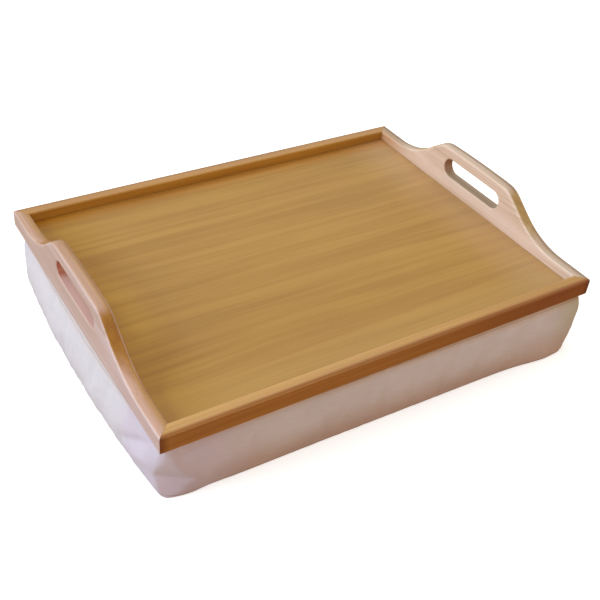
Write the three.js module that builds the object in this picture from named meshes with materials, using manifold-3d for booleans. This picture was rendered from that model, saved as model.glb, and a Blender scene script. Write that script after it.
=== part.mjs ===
// A wooden lap tray on a bead-filled cushion.
// Millimetres, +Z up, +X along the long side, -Y towards the front.
// The origin is the middle of the cushion's flat base.
import * as THREE from 'three';
import { mergeVertices } from 'three/addons/utils/BufferGeometryUtils.js';
import Module from 'manifold-3d';

// Tray frame: two low rails and two end boards with mitred corners
const TRAY_LENGTH = 430;
const TRAY_WIDTH = 326;
const RAIL_HEIGHT = 16.5;
const RAIL_THICKNESS = 12;
const BOARD_THICKNESS = 12;
const TOP_EDGE_ROUND = 2.5;
const FRAME_CORNER_ROUND = 3;
const MITRE_GAP = 0.3;

// Hand hold: a crown, two shoulders and two long sweeping feet, with a slot for the fingers
const HANDLE_HEIGHT = 52.8;
const CROWN_WIDTH = 84;
const CROWN_RADIUS = 1100;
const SHOULDER_RADIUS = 28;
const SHOULDER_ANGLE = THREE.MathUtils.degToRad(37);
const FOOT_RADIUS = 87;
const SLOT_LENGTH = 84;
const SLOT_HEIGHT = 19;
const SLOT_CENTRE_HEIGHT = 31.5;

// Deck panel, held in a groove all round the frame
const DECK_THICKNESS = 4;
const DECK_LIFT = 3;
const GROOVE_DEPTH = 5;
const GROOVE_PLAY = 0.3;
const DECK_EDGE_PLAY = 0.5;

// V-shaped nails that hold the mitres, driven up from below
const NAIL_WIDTH = 6;
const NAIL_POINT = 2;
const NAIL_STEEL = 0.9;
const NAIL_HEIGHT = 10;
const NAIL_POCKET_GAP = 0.3;

// Cushion, a little smaller than the frame at its corners
const CUSHION_HEIGHT = 60;
const CUSHION_END_INSET = 2.5;
const CUSHION_SIDE_INSET = 2;
const CUSHION_CORNER_RADIUS = 8;
const TRAY_SEAT_GAP = 0.3;

// The cushion's sides roll in towards the top and base seams and swell between the corners
const TOP_ROLL_DEPTH = 6;
const TOP_ROLL_HEIGHT = 20;
const BASE_ROLL_DEPTH = 2;
const BASE_ROLL_HEIGHT = 8;
const END_SWELL = 7;
const END_SWELL_AT_SEAM = 4;
const SIDE_SWELL = 4;
const SIDE_SWELL_AT_SEAM = 2;
const SEAM_HEIGHT = 3;
const SEAM_GAP = 0.3;
const COVER_THICKNESS = 1;

// Inner bag and its beads
const BAG_INSET = 5;
const BAG_THICKNESS = 0.5;
const BAG_MOUTH_LENGTH = 40;
const BAG_MOUTH_HEIGHT = 16;
const LAYER_GAP = 0.3;

// Hook-and-loop strips between the deck and the cushion
const STRIP_LENGTH = 80;
const STRIP_WIDTH = 25;
const STRIP_INSET = 25;
const STRIP_GAP = 0.3;

// Zip in the back wall
const ZIP_LENGTH = 240;
const ZIP_END_ROOM = 6;
const SLIT_HEIGHT = 10;
const TAPE_THICKNESS = 0.6;
const TEETH_PITCH = 4;
const TOOTH_WIDTH = 1.6;
const TOOTH_BITE = 1.2;
const TEETH_THICKNESS = 2.2;
const SPINE_START = 1.6;
const SPINE_HEIGHT = 1.8;
const ZIP_CLEARANCE = 0.3;
const STOP_LENGTH = 2.5;

// Zip slider, its lug, and the pull that flips over on the lug
const SLIDER_LENGTH = 9;
const SLIDER_WIDTH = 8.4;
const SLIDER_PLATE = 1.2;
const POST_LENGTH = 1.5;
const POST_WIDTH = 2;
const LUG_OPENING = 4.6;
const LUG_LEG = 1.2;
const LUG_WIDTH = 2;
const LUG_CLEAR_HEIGHT = 2.2;
const LUG_BAR = 0.8;
const PULL_LENGTH = 22;
const PULL_WIDTH = 5.6;
const PULL_THICKNESS = 1;
const PULL_PIN = 1.4;
const PULL_WINDOW = 3.9;

// Facet counts
const BEVEL_STEPS = 3;
const ARC_STEPS = 8;
const ROLL_STEPS = 4;
const CORNER_STEPS = 5;
const END_STEPS = 8;
const RAMP_STEPS = 3;

const OVERCUT = 1;
const MERGE_DISTANCE = 1e-4;

const wasm = await Module();
wasm.setup();

const materials = {
  frameWood: new THREE.MeshStandardMaterial({ color: 0xc99f6d, roughness: 0.55, metalness: 0 }),
  deckWood: new THREE.MeshStandardMaterial({ color: 0xb48f58, roughness: 0.5, metalness: 0 }),
  coverFabric: new THREE.MeshStandardMaterial({ color: 0xae9686, roughness: 0.9, metalness: 0 }),
  bagFabric: new THREE.MeshStandardMaterial({ color: 0xe4e0d8, roughness: 0.95, metalness: 0 }),
  beads: new THREE.MeshStandardMaterial({ color: 0xf2f1ec, roughness: 0.8, metalness: 0 }),
  strip: new THREE.MeshStandardMaterial({ color: 0x6f6257, roughness: 0.95, metalness: 0 }),
  zipTape: new THREE.MeshStandardMaterial({ color: 0x97806f, roughness: 0.9, metalness: 0 }),
  zipPlastic: new THREE.MeshStandardMaterial({ color: 0x85705f, roughness: 0.45, metalness: 0 }),
  zipMetal: new THREE.MeshStandardMaterial({ color: 0x9c958c, roughness: 0.35, metalness: 1 }),
  steel: new THREE.MeshStandardMaterial({ color: 0xa9a9a6, roughness: 0.4, metalness: 1 }),
};

// Closed meshes as solids that can be joined and cut, and back again
function toSolid(geometry) {
  const bare = geometry.clone();
  bare.deleteAttribute('normal');
  bare.deleteAttribute('uv');
  const merged = mergeVertices(bare, MERGE_DISTANCE);
  return new wasm.Manifold(new wasm.Mesh({
    numProp: 3,
    vertProperties: new Float32Array(merged.attributes.position.array),
    triVerts: new Uint32Array(merged.index.array),
  }));
}

function toGeometry(solid) {
  const mesh = solid.getMesh();
  const geometry = new THREE.BufferGeometry();
  geometry.setAttribute('position', new THREE.BufferAttribute(mesh.vertProperties, 3));
  geometry.setIndex(new THREE.BufferAttribute(mesh.triVerts, 1));
  geometry.computeVertexNormals();
  return geometry;
}

// A block between two opposite corners
function block(low, high) {
  const size = high.map((value, axis) => value - low[axis]);
  const centre = high.map((value, axis) => (value + low[axis]) / 2);
  return new THREE.BoxGeometry(...size).translate(...centre);
}

// A plan outline (X, Y) raised from one height to another
function upright(shape, bottom, top) {
  const geometry = new THREE.ExtrudeGeometry(shape, {
    depth: top - bottom,
    bevelEnabled: false,
    curveSegments: ARC_STEPS,
  });
  return geometry.translate(0, 0, bottom);
}

function polygon(points) {
  return new THREE.Shape(points.map(([x, y]) => new THREE.Vector2(x, y)));
}

function roundedRectangle(halfX, halfY, radius) {
  const shape = new THREE.Shape();
  shape.absarc(halfX - radius, -halfY + radius, radius, -Math.PI / 2, 0, false);
  shape.absarc(halfX - radius, halfY - radius, radius, 0, Math.PI / 2, false);
  shape.absarc(-halfX + radius, halfY - radius, radius, Math.PI / 2, Math.PI, false);
  shape.absarc(-halfX + radius, -halfY + radius, radius, Math.PI, 1.5 * Math.PI, false);
  return shape;
}

function part(name, geometry, material) {
  const mesh = new THREE.Mesh(geometry, material);
  mesh.name = name;
  return mesh;
}

// Heights above the tray's own underside
const deckTop = DECK_LIFT + DECK_THICKNESS;
const frameBottomHeight = CUSHION_HEIGHT + TRAY_SEAT_GAP;

// Face of an end board, drawn with the length along X and the height along Y
function endBoardFace() {
  const crownTurn = Math.asin(CROWN_WIDTH / 2 / CROWN_RADIUS);
  const crownCentre = HANDLE_HEIGHT - CROWN_RADIUS;
  const shoulderReach = CROWN_RADIUS - SHOULDER_RADIUS;
  const shoulderX = shoulderReach * Math.sin(crownTurn);
  const shoulderY = crownCentre + shoulderReach * Math.cos(crownTurn);
  const slopeTopX = shoulderX + SHOULDER_RADIUS * Math.sin(SHOULDER_ANGLE);
  const slopeTopY = shoulderY + SHOULDER_RADIUS * Math.cos(SHOULDER_ANGLE);
  const slopeFootY = RAIL_HEIGHT + FOOT_RADIUS * (1 - Math.cos(SHOULDER_ANGLE));
  const slopeFootX = slopeTopX + (slopeTopY - slopeFootY) / Math.tan(SHOULDER_ANGLE);
  const footX = slopeFootX + FOOT_RADIUS * Math.sin(SHOULDER_ANGLE);
  const footY = RAIL_HEIGHT + FOOT_RADIUS;
  const up = Math.PI / 2;
  const end = TRAY_WIDTH / 2 + BOARD_THICKNESS;

  const face = new THREE.Shape();
  face.moveTo(-end, -BOARD_THICKNESS);
  face.lineTo(end, -BOARD_THICKNESS);
  face.lineTo(end, RAIL_HEIGHT);
  face.absarc(footX, footY, FOOT_RADIUS, -up, -up - SHOULDER_ANGLE, true);
  face.absarc(shoulderX, shoulderY, SHOULDER_RADIUS, up - SHOULDER_ANGLE, up - crownTurn, false);
  face.absarc(0, crownCentre, CROWN_RADIUS, up - crownTurn, up + crownTurn, false);
  face.absarc(-shoulderX, shoulderY, SHOULDER_RADIUS, up + crownTurn, up + SHOULDER_ANGLE, false);
  face.absarc(-footX, footY, FOOT_RADIUS, -up + SHOULDER_ANGLE, -up, true);
  face.lineTo(-end, RAIL_HEIGHT);
  face.closePath();
  face.holes.push(fingerSlot());
  return face;
}

function fingerSlot() {
  const radius = SLOT_HEIGHT / 2;
  const reach = SLOT_LENGTH / 2 - radius;
  const slot = new THREE.Path();
  slot.absarc(reach, SLOT_CENTRE_HEIGHT, radius, -Math.PI / 2, Math.PI / 2, false);
  slot.absarc(-reach, SLOT_CENTRE_HEIGHT, radius, Math.PI / 2, 1.5 * Math.PI, false);
  slot.closePath();
  return slot;
}

// Face of a rail: a plain strip, drawn the same way
function railFace() {
  const end = TRAY_LENGTH / 2 + RAIL_THICKNESS;
  return polygon([
    [-end, -RAIL_THICKNESS],
    [end, -RAIL_THICKNESS],
    [end, RAIL_HEIGHT],
    [-end, RAIL_HEIGHT],
  ]);
}

// Plan of a mitred board: outer face on X = 0, length along Y, ends cut to the neighbours
function mitredPlan(length, thickness, neighbour) {
  const setBack = MITRE_GAP / 2 * Math.hypot(thickness, neighbour) / thickness;
  const outer = length / 2 - setBack;
  const inner = outer - neighbour;
  return polygon([
    [0, -outer],
    [0, outer],
    [-thickness, inner],
    [-thickness, -inner],
  ]);
}

// Outline of a corner nail seen from above: a V pointing out along X, grown by a clearance
function nailPlan(clearance) {
  const half = NAIL_WIDTH / 2 + clearance;
  const point = NAIL_POINT / 2;
  const steel = NAIL_STEEL / 2 + clearance;
  return polygon([
    [point + steel, 0],
    [-point + steel, half],
    [-point - steel, half],
    [point - steel, 0],
    [-point - steel, -half],
    [-point + steel, -half],
  ]);
}

// Distance of a nail's middle from the frame's inner corner, in the wood outside the groove
function nailReach(thickness, neighbour) {
  const mitre = Math.hypot(thickness, neighbour);
  const grooveEnd = GROOVE_DEPTH * (thickness + neighbour) / mitre;
  return (grooveEnd + mitre) / 2;
}

// A board of the frame: rounded top edges, mitred ends, a groove for the deck, nail pockets.
// Its outer face is on X = 0 and its length runs along Y.
function frameBoard(face, length, thickness, neighbour, across) {
  const cross = new THREE.ExtrudeGeometry(face, {
    depth: thickness - 2 * TOP_EDGE_ROUND,
    bevelEnabled: true,
    bevelThickness: TOP_EDGE_ROUND,
    bevelSize: TOP_EDGE_ROUND,
    bevelOffset: -TOP_EDGE_ROUND,
    bevelSegments: BEVEL_STEPS,
    curveSegments: ARC_STEPS,
  });
  cross.translate(0, 0, TOP_EDGE_ROUND - thickness);
  cross.applyMatrix4(new THREE.Matrix4().makeBasis(
    new THREE.Vector3(0, 1, 0),
    new THREE.Vector3(0, 0, 1),
    new THREE.Vector3(1, 0, 0),
  ));
  const top = HANDLE_HEIGHT + OVERCUT;
  const plan = toSolid(upright(mitredPlan(length, thickness, neighbour), 0, top));
  const outline = upright(roundedRectangle(across / 2, length / 2, FRAME_CORNER_ROUND), 0, top);
  const corners = toSolid(outline.translate(-across / 2, 0, 0));
  const groove = toSolid(block(
    [-thickness - OVERCUT, -length, DECK_LIFT],
    [-thickness + GROOVE_DEPTH, length, deckTop + GROOVE_PLAY],
  ));
  let solid = toSolid(cross).intersect(plan).intersect(corners).subtract(groove);
  for (const end of [-1, 1]) {
    const pocket = upright(nailPlan(NAIL_POCKET_GAP), -OVERCUT, NAIL_HEIGHT + NAIL_POCKET_GAP);
    pocket.translate(nailReach(thickness, neighbour), 0, 0);
    pocket.rotateZ(end * Math.atan2(neighbour, thickness));
    pocket.translate(-thickness, end * (length / 2 - neighbour), 0);
    solid = solid.subtract(toSolid(pocket));
  }
  return toGeometry(solid);
}

function makeFrame(tray) {
  const boards = [
    ['right_end_board', 0],
    ['left_end_board', Math.PI],
  ];
  for (const [name, turn] of boards) {
    const shape = frameBoard(endBoardFace(), TRAY_WIDTH, BOARD_THICKNESS, RAIL_THICKNESS, TRAY_LENGTH);
    const board = part(name, shape, materials.frameWood);
    board.rotation.z = turn;
    board.position.x = Math.cos(turn) * TRAY_LENGTH / 2;
    tray.add(board);
  }
  const rails = [
    ['back_rail', Math.PI / 2],
    ['front_rail', -Math.PI / 2],
  ];
  for (const [name, turn] of rails) {
    const shape = frameBoard(railFace(), TRAY_LENGTH, RAIL_THICKNESS, BOARD_THICKNESS, TRAY_WIDTH);
    const rail = part(name, shape, materials.frameWood);
    rail.rotation.z = turn;
    rail.position.y = Math.sin(turn) * TRAY_WIDTH / 2;
    tray.add(rail);
  }
}

// The frame's opening, measured to the boards' inner faces
const innerHalfLength = TRAY_LENGTH / 2 - BOARD_THICKNESS;
const innerHalfWidth = TRAY_WIDTH / 2 - RAIL_THICKNESS;

function makeDeck(tray) {
  const reach = GROOVE_DEPTH - DECK_EDGE_PLAY;
  const halfLength = innerHalfLength + reach;
  const halfWidth = innerHalfWidth + reach;
  const panel = block([-halfLength, -halfWidth, DECK_LIFT], [halfLength, halfWidth, deckTop]);
  tray.add(part('deck_panel', panel, materials.deckWood));
}

const cornerPlaces = [
  ['front_left', -1, -1],
  ['front_right', 1, -1],
  ['back_left', -1, 1],
  ['back_right', 1, 1],
];

function makeCornerNails(tray) {
  const reach = nailReach(BOARD_THICKNESS, RAIL_THICKNESS);
  for (const [place, alongX, alongY] of cornerPlaces) {
    const turn = Math.atan2(alongY * RAIL_THICKNESS, alongX * BOARD_THICKNESS);
    const nail = part(`corner_nail_${place}`, upright(nailPlan(0), 0, NAIL_HEIGHT), materials.steel);
    nail.rotation.z = turn;
    nail.position.x = alongX * innerHalfLength + reach * Math.cos(turn);
    nail.position.y = alongY * innerHalfWidth + reach * Math.sin(turn);
    tray.add(nail);
  }
}

// Strips lie near the deck's corners and share the space between deck and cushion equally
const stripThickness = (DECK_LIFT + TRAY_SEAT_GAP - STRIP_GAP) / 2;

function addStrips(group, kind, bottom) {
  const stripX = innerHalfLength - STRIP_INSET - STRIP_LENGTH / 2;
  const stripY = innerHalfWidth - STRIP_INSET - STRIP_WIDTH / 2;
  for (const [place, alongX, alongY] of cornerPlaces) {
    const geometry = block(
      [-STRIP_LENGTH / 2, -STRIP_WIDTH / 2, 0],
      [STRIP_LENGTH / 2, STRIP_WIDTH / 2, stripThickness],
    );
    const strip = part(`${kind}_strip_${place}`, geometry, materials.strip);
    strip.position.set(alongX * stripX, alongY * stripY, bottom);
    group.add(strip);
  }
}

// The cushion at its widest, before its sides swell
const cushionHalfLength = TRAY_LENGTH / 2 - CUSHION_END_INSET;
const cushionHalfWidth = TRAY_WIDTH / 2 - CUSHION_SIDE_INSET;
const cornerCentreX = cushionHalfLength - CUSHION_CORNER_RADIUS;
const cornerCentreY = cushionHalfWidth - CUSHION_CORNER_RADIUS;

// The back wall stays straight behind the zip, and the front wall matches it
const slitHalfLength = ZIP_LENGTH / 2 + ZIP_END_ROOM;
const tapeHalfLength = slitHalfLength + ZIP_END_ROOM;
const straightHalf = tapeHalfLength + ZIP_END_ROOM;

// Share of a side's swell at a distance from its middle: full where straight, none at the corner
function swellShare(distance, halfRun, straight) {
  const past = Math.max(0, Math.abs(distance) - straight) / (halfRun - straight);
  return 1 - past * past;
}

// Places along one side, from one corner's start to the other's
function sideStations(halfRun, straight, steps) {
  const half = [];
  for (let i = 0; i < steps; i += 1) {
    half.push(halfRun - (halfRun - straight) * i / steps);
  }
  if (straight > 0) {
    half.push(straight);
  }
  return [...half.map((place) => -place), 0, ...half.reverse()];
}

// One level of the cushion's outline, anticlockwise from the front left corner.
// Spread is 0 at the seams and 1 at the widest level, and the roll's depth is its inset at a seam.
function cushionRing(spread, rollDepth, inset) {
  const shrink = rollDepth * (1 - spread) + inset;
  const radius = Math.max(CUSHION_CORNER_RADIUS - shrink, COVER_THICKNESS);
  const runX = cushionHalfLength - shrink - radius;
  const runY = cushionHalfWidth - shrink - radius;
  const endSwell = END_SWELL_AT_SEAM + (END_SWELL - END_SWELL_AT_SEAM) * spread;
  const sideSwell = SIDE_SWELL_AT_SEAM + (SIDE_SWELL - SIDE_SWELL_AT_SEAM) * spread;
  const sides = [
    { turn: -Math.PI / 2, run: runX, out: runY, swell: sideSwell, straight: straightHalf },
    { turn: 0, run: runY, out: runX, swell: endSwell, straight: 0 },
    { turn: Math.PI / 2, run: runX, out: runY, swell: sideSwell, straight: straightHalf },
    { turn: Math.PI, run: runY, out: runX, swell: endSwell, straight: 0 },
  ];
  const ring = [];
  for (const { turn, run, out, swell, straight } of sides) {
    const steps = straight > 0 ? RAMP_STEPS : END_STEPS / 2;
    for (const place of sideStations(run, straight, steps)) {
      const reach = out + radius + swell * swellShare(place, run, straight);
      ring.push(new THREE.Vector2(reach, place).rotateAround(new THREE.Vector2(), turn));
    }
    for (let i = 1; i < CORNER_STEPS; i += 1) {
      const angle = Math.PI / 2 * i / CORNER_STEPS;
      const corner = new THREE.Vector2(out + radius * Math.cos(angle), run + radius * Math.sin(angle));
      ring.push(corner.rotateAround(new THREE.Vector2(), turn));
    }
  }
  return ring;
}

// One quarter ellipse from a seam to the widest level, as distances from that seam and spreads
function rollLevels(rollHeight, heightInset) {
  const rise = rollHeight - heightInset;
  const levels = [];
  for (let i = 0; i <= ROLL_STEPS; i += 1) {
    const angle = Math.PI / 2 * i / ROLL_STEPS;
    levels.push([heightInset + rise * (1 - Math.cos(angle)), Math.sin(angle)]);
  }
  return levels;
}

// Heights, spreads and roll depths from the base up: the base's roll, a straight band, the top's
function cushionLevels(heightInset) {
  const lower = rollLevels(BASE_ROLL_HEIGHT, heightInset)
    .map(([distance, spread]) => [distance, spread, BASE_ROLL_DEPTH]);
  const upper = rollLevels(TOP_ROLL_HEIGHT, heightInset)
    .map(([distance, spread]) => [CUSHION_HEIGHT - distance, spread, TOP_ROLL_DEPTH]);
  return [...lower, ...upper.reverse()];
}

// The cushion's whole form, set in from its outer surface, flat on its top and base
function cushionForm(inset, heightInset) {
  const levels = cushionLevels(heightInset);
  const rings = levels.map(([, spread, rollDepth]) => cushionRing(spread, rollDepth, inset));
  const count = rings[0].length;
  const positions = [];
  rings.forEach((ring, k) => {
    ring.forEach((point) => positions.push(point.x, point.y, levels[k][0]));
  });
  const faces = [];
  for (let k = 0; k + 1 < rings.length; k += 1) {
    for (let i = 0; i < count; i += 1) {
      const next = (i + 1) % count;
      const low = k * count;
      const high = low + count;
      faces.push(low + i, low + next, high + next);
      faces.push(low + i, high + next, high + i);
    }
  }
  const baseCentre = positions.length / 3;
  const topCentre = baseCentre + 1;
  const topRing = (rings.length - 1) * count;
  positions.push(0, 0, levels[0][0], 0, 0, levels[levels.length - 1][0]);
  for (let i = 0; i < count; i += 1) {
    const next = (i + 1) % count;
    faces.push(baseCentre, next, i);
    faces.push(topCentre, topRing + i, topRing + next);
  }
  const geometry = new THREE.BufferGeometry();
  geometry.setAttribute('position', new THREE.Float32BufferAttribute(positions, 3));
  geometry.setIndex(faces);
  return geometry;
}

// The space of one wall between two corner seams, for a wall that faces along X before its turn
function wallSpace(run, out, turn) {
  const reach = CUSHION_CORNER_RADIUS + END_SWELL + OVERCUT;
  const setBack = SEAM_GAP / Math.SQRT2;
  const plan = polygon([
    [out, -run + setBack],
    [out + reach, -run - reach + setBack],
    [out + reach, run + reach - setBack],
    [out, run - setBack],
  ]);
  const bottom = SEAM_HEIGHT + SEAM_GAP / 2;
  return toSolid(upright(plan, bottom, CUSHION_HEIGHT - bottom).rotateZ(turn));
}

// A level slice of space wider than the cushion
function slice(bottom, top) {
  return toSolid(block([-TRAY_LENGTH, -TRAY_WIDTH, bottom], [TRAY_LENGTH, TRAY_WIDTH, top]));
}

// The zip lies half way up, in the plane of the back wall's straight band
const backFace = cushionHalfWidth + SIDE_SWELL;
const zipHeight = CUSHION_HEIGHT / 2;
const straightBandHalf = CUSHION_HEIGHT / 2 - TOP_ROLL_HEIGHT;
const tapeOuter = backFace - COVER_THICKNESS - SEAM_GAP;
const zipPlane = tapeOuter - TAPE_THICKNESS / 2;

function makeCover(cushion) {
  const outside = toSolid(cushionForm(0, 0));
  const shell = outside.subtract(toSolid(cushionForm(COVER_THICKNESS, COVER_THICKNESS)));
  const addPanel = (name, solid) => cushion.add(part(name, toGeometry(solid), materials.coverFabric));

  addPanel('cover_base_panel', shell.intersect(slice(-OVERCUT, SEAM_HEIGHT - SEAM_GAP / 2)));
  const topSeam = CUSHION_HEIGHT - SEAM_HEIGHT + SEAM_GAP / 2;
  addPanel('cover_top_panel', shell.intersect(slice(topSeam, CUSHION_HEIGHT + OVERCUT)));

  const wall = (run, out, turn) => shell.intersect(wallSpace(run, out, turn));
  addPanel('cover_front_wall', wall(cornerCentreX, cornerCentreY, -Math.PI / 2));
  addPanel('cover_right_wall', wall(cornerCentreY, cornerCentreX, 0));
  addPanel('cover_left_wall', wall(cornerCentreY, cornerCentreX, Math.PI));

  const slit = toSolid(block(
    [-slitHalfLength, cornerCentreY, zipHeight - SLIT_HEIGHT / 2],
    [slitHalfLength, backFace + OVERCUT, zipHeight + SLIT_HEIGHT / 2],
  ));
  const backWall = wall(cornerCentreX, cornerCentreY, Math.PI / 2).subtract(slit);
  const lowerHalf = slice(0, zipHeight - SEAM_GAP / 2);
  const upperHalf = slice(zipHeight + SEAM_GAP / 2, CUSHION_HEIGHT);
  addPanel('cover_back_wall_lower', backWall.intersect(lowerHalf));
  addPanel('cover_back_wall_upper', backWall.intersect(upperHalf));
}

// The inner bag is open at its filling mouth, which faces the zip
function makeFilling(cushion) {
  const bagHeightInset = COVER_THICKNESS + LAYER_GAP;
  const beadInset = BAG_THICKNESS + LAYER_GAP;
  const bagOutside = toSolid(cushionForm(BAG_INSET, bagHeightInset));
  const bagInside = toSolid(cushionForm(BAG_INSET + BAG_THICKNESS, bagHeightInset + BAG_THICKNESS));
  const mouth = toSolid(block(
    [-BAG_MOUTH_LENGTH / 2, cornerCentreY, zipHeight - BAG_MOUTH_HEIGHT / 2],
    [BAG_MOUTH_LENGTH / 2, backFace, zipHeight + BAG_MOUTH_HEIGHT / 2],
  ));
  const bag = bagOutside.subtract(bagInside).subtract(mouth);
  cushion.add(part('inner_bag', toGeometry(bag), materials.bagFabric));

  const beads = cushionForm(BAG_INSET + beadInset, bagHeightInset + beadInset);
  cushion.add(part('bead_filling', beads, materials.beads));
}

// Each zip part is drawn once for the upper side and turned over for the lower side
const spineEnd = SPINE_START + SPINE_HEIGHT;
const zipSides = [
  ['upper', 1],
  ['lower', -1],
];

function zipBlock(lowX, highX, lowZ, highZ, thickness) {
  return block([lowX, -thickness / 2, lowZ], [highX, thickness / 2, highZ]);
}

function zipSideGroup(direction) {
  const group = new THREE.Group();
  group.position.set(0, zipPlane, zipHeight);
  group.rotation.x = direction > 0 ? 0 : Math.PI;
  return group;
}

// One row of teeth on its spine. The two rows are half a pitch apart, so they mesh.
function teethRow(shift) {
  const row = new THREE.Shape();
  const start = -ZIP_LENGTH / 2;
  row.moveTo(start, spineEnd);
  row.lineTo(start, SPINE_START);
  const count = Math.floor(ZIP_LENGTH / TEETH_PITCH);
  for (let i = 0; i < count; i += 1) {
    const left = start + i * TEETH_PITCH + shift;
    row.lineTo(left, SPINE_START);
    row.lineTo(left, -TOOTH_BITE);
    row.lineTo(left + TOOTH_WIDTH, -TOOTH_BITE);
    row.lineTo(left + TOOTH_WIDTH, SPINE_START);
  }
  row.lineTo(-start, SPINE_START);
  row.lineTo(-start, spineEnd);
  row.closePath();
  const geometry = new THREE.ExtrudeGeometry(row, { depth: TEETH_THICKNESS, bevelEnabled: false });
  geometry.translate(0, 0, -TEETH_THICKNESS / 2);
  return geometry.rotateX(Math.PI / 2);
}

// The slider rests at the closed end, with its post just past the last tooth
const sliderFront = ZIP_LENGTH / 2 + ZIP_CLEARANCE + POST_LENGTH;
const sliderCentre = sliderFront - SLIDER_LENGTH / 2;

function makeZip(cushion) {
  const tapeLow = spineEnd + ZIP_CLEARANCE;
  const tapeHigh = straightBandHalf - ZIP_CLEARANCE;
  const stopLow = sliderFront + ZIP_CLEARANCE;
  const quarterPitch = TEETH_PITCH / 4;
  for (const [side, direction] of zipSides) {
    const group = zipSideGroup(direction);
    const tape = zipBlock(-tapeHalfLength, tapeHalfLength, tapeLow, tapeHigh, TAPE_THICKNESS);
    const shift = quarterPitch * (2 - direction) - TOOTH_WIDTH / 2;
    const stop = zipBlock(stopLow, stopLow + STOP_LENGTH, SPINE_START, spineEnd, TEETH_THICKNESS);
    group.add(part(`zip_tape_${side}`, tape, materials.zipTape));
    group.add(part(`zip_teeth_${side}`, teethRow(shift), materials.zipPlastic));
    group.add(part(`zip_top_stop_${side}`, stop, materials.zipMetal));
    cushion.add(group);
  }
  const bottomEnd = -ZIP_LENGTH / 2 - ZIP_CLEARANCE;
  const bottomStop = zipBlock(bottomEnd - STOP_LENGTH, bottomEnd, -spineEnd, spineEnd, TEETH_THICKNESS);
  const stopMesh = part('zip_bottom_stop', bottomStop, materials.zipMetal);
  stopMesh.position.set(0, zipPlane, zipHeight);
  cushion.add(stopMesh);
}

// Slider: two plates either side of the teeth, joined by a post, with a lug on the outer plate
function sliderShape() {
  const plateInner = TEETH_THICKNESS / 2 + ZIP_CLEARANCE;
  const plateOuter = plateInner + SLIDER_PLATE;
  const halfLength = SLIDER_LENGTH / 2;
  const halfWidth = SLIDER_WIDTH / 2;
  const outerPlate = block([-halfLength, plateInner, -halfWidth], [halfLength, plateOuter, halfWidth]);
  const innerPlate = block([-halfLength, -plateOuter, -halfWidth], [halfLength, -plateInner, halfWidth]);
  const post = block(
    [halfLength - POST_LENGTH, -plateOuter, -POST_WIDTH / 2],
    [halfLength, plateOuter, POST_WIDTH / 2],
  );
  const lugTop = plateOuter + LUG_CLEAR_HEIGHT + LUG_BAR;
  const lugHalf = LUG_OPENING / 2 + LUG_LEG;
  const lug = block([-lugHalf, plateInner, -LUG_WIDTH / 2], [lugHalf, lugTop, LUG_WIDTH / 2]);
  const lugGap = block(
    [-LUG_OPENING / 2, plateOuter, -LUG_WIDTH],
    [LUG_OPENING / 2, plateOuter + LUG_CLEAR_HEIGHT, LUG_WIDTH],
  );
  const arch = toSolid(lug).subtract(toSolid(lugGap));
  const body = toSolid(outerPlate).add(toSolid(innerPlate)).add(toSolid(post)).add(arch);
  return toGeometry(body);
}

// Pull: a flat tab with a window near its end, leaving a pin that runs through the lug.
// It lies back along the closed teeth and turns about the pin's middle.
function pullShape() {
  const tab = roundedRectangle(PULL_LENGTH / 2, PULL_WIDTH / 2, PULL_PIN / 2);
  const centreX = PULL_PIN / 2 - PULL_LENGTH / 2;
  const windowLow = -PULL_PIN / 2 - PULL_WINDOW - centreX;
  const windowHigh = -PULL_PIN / 2 - centreX;
  const windowHalf = LUG_WIDTH / 2 + ZIP_CLEARANCE;
  const window = new THREE.Path([
    new THREE.Vector2(windowLow, -windowHalf),
    new THREE.Vector2(windowHigh, -windowHalf),
    new THREE.Vector2(windowHigh, windowHalf),
    new THREE.Vector2(windowLow, windowHalf),
  ]);
  tab.holes.push(window);
  const geometry = new THREE.ExtrudeGeometry(tab, {
    depth: PULL_THICKNESS,
    bevelEnabled: false,
    curveSegments: ARC_STEPS / 2,
  });
  geometry.translate(centreX, 0, -PULL_THICKNESS / 2);
  return geometry.rotateX(-Math.PI / 2);
}

function makeSlider(cushion) {
  const slider = part('zip_slider', sliderShape(), materials.zipMetal);
  slider.position.set(sliderCentre, zipPlane, zipHeight);
  const pull = part('zip_pull', pullShape(), materials.zipMetal);
  pull.position.y = TEETH_THICKNESS / 2 + ZIP_CLEARANCE + SLIDER_PLATE + LUG_CLEAR_HEIGHT / 2;
  slider.add(pull);
  cushion.add(slider);
}

const tray = new THREE.Group();
tray.position.z = frameBottomHeight;
makeFrame(tray);
makeDeck(tray);
makeCornerNails(tray);
addStrips(tray, 'hook', DECK_LIFT - stripThickness);

const cushion = new THREE.Group();
makeCover(cushion);
makeFilling(cushion);
addStrips(cushion, 'loop', CUSHION_HEIGHT);
makeZip(cushion);
makeSlider(cushion);

const lapTray = new THREE.Group();
lapTray.add(cushion, tray);

export default lapTray;
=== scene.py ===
"""A wooden lap tray on a bead-filled cushion: fine boards, sewn cover, zip and finishes.

Lengths are millimetres unless a name says otherwise. X runs along the tray's long side,
-Y is its front, and the cushion stands on Z = 0.
"""

import math

import bmesh
import bpy
import numpy as np
from mathutils import Matrix, Vector, noise
from mathutils.bvhtree import BVHTree


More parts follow.
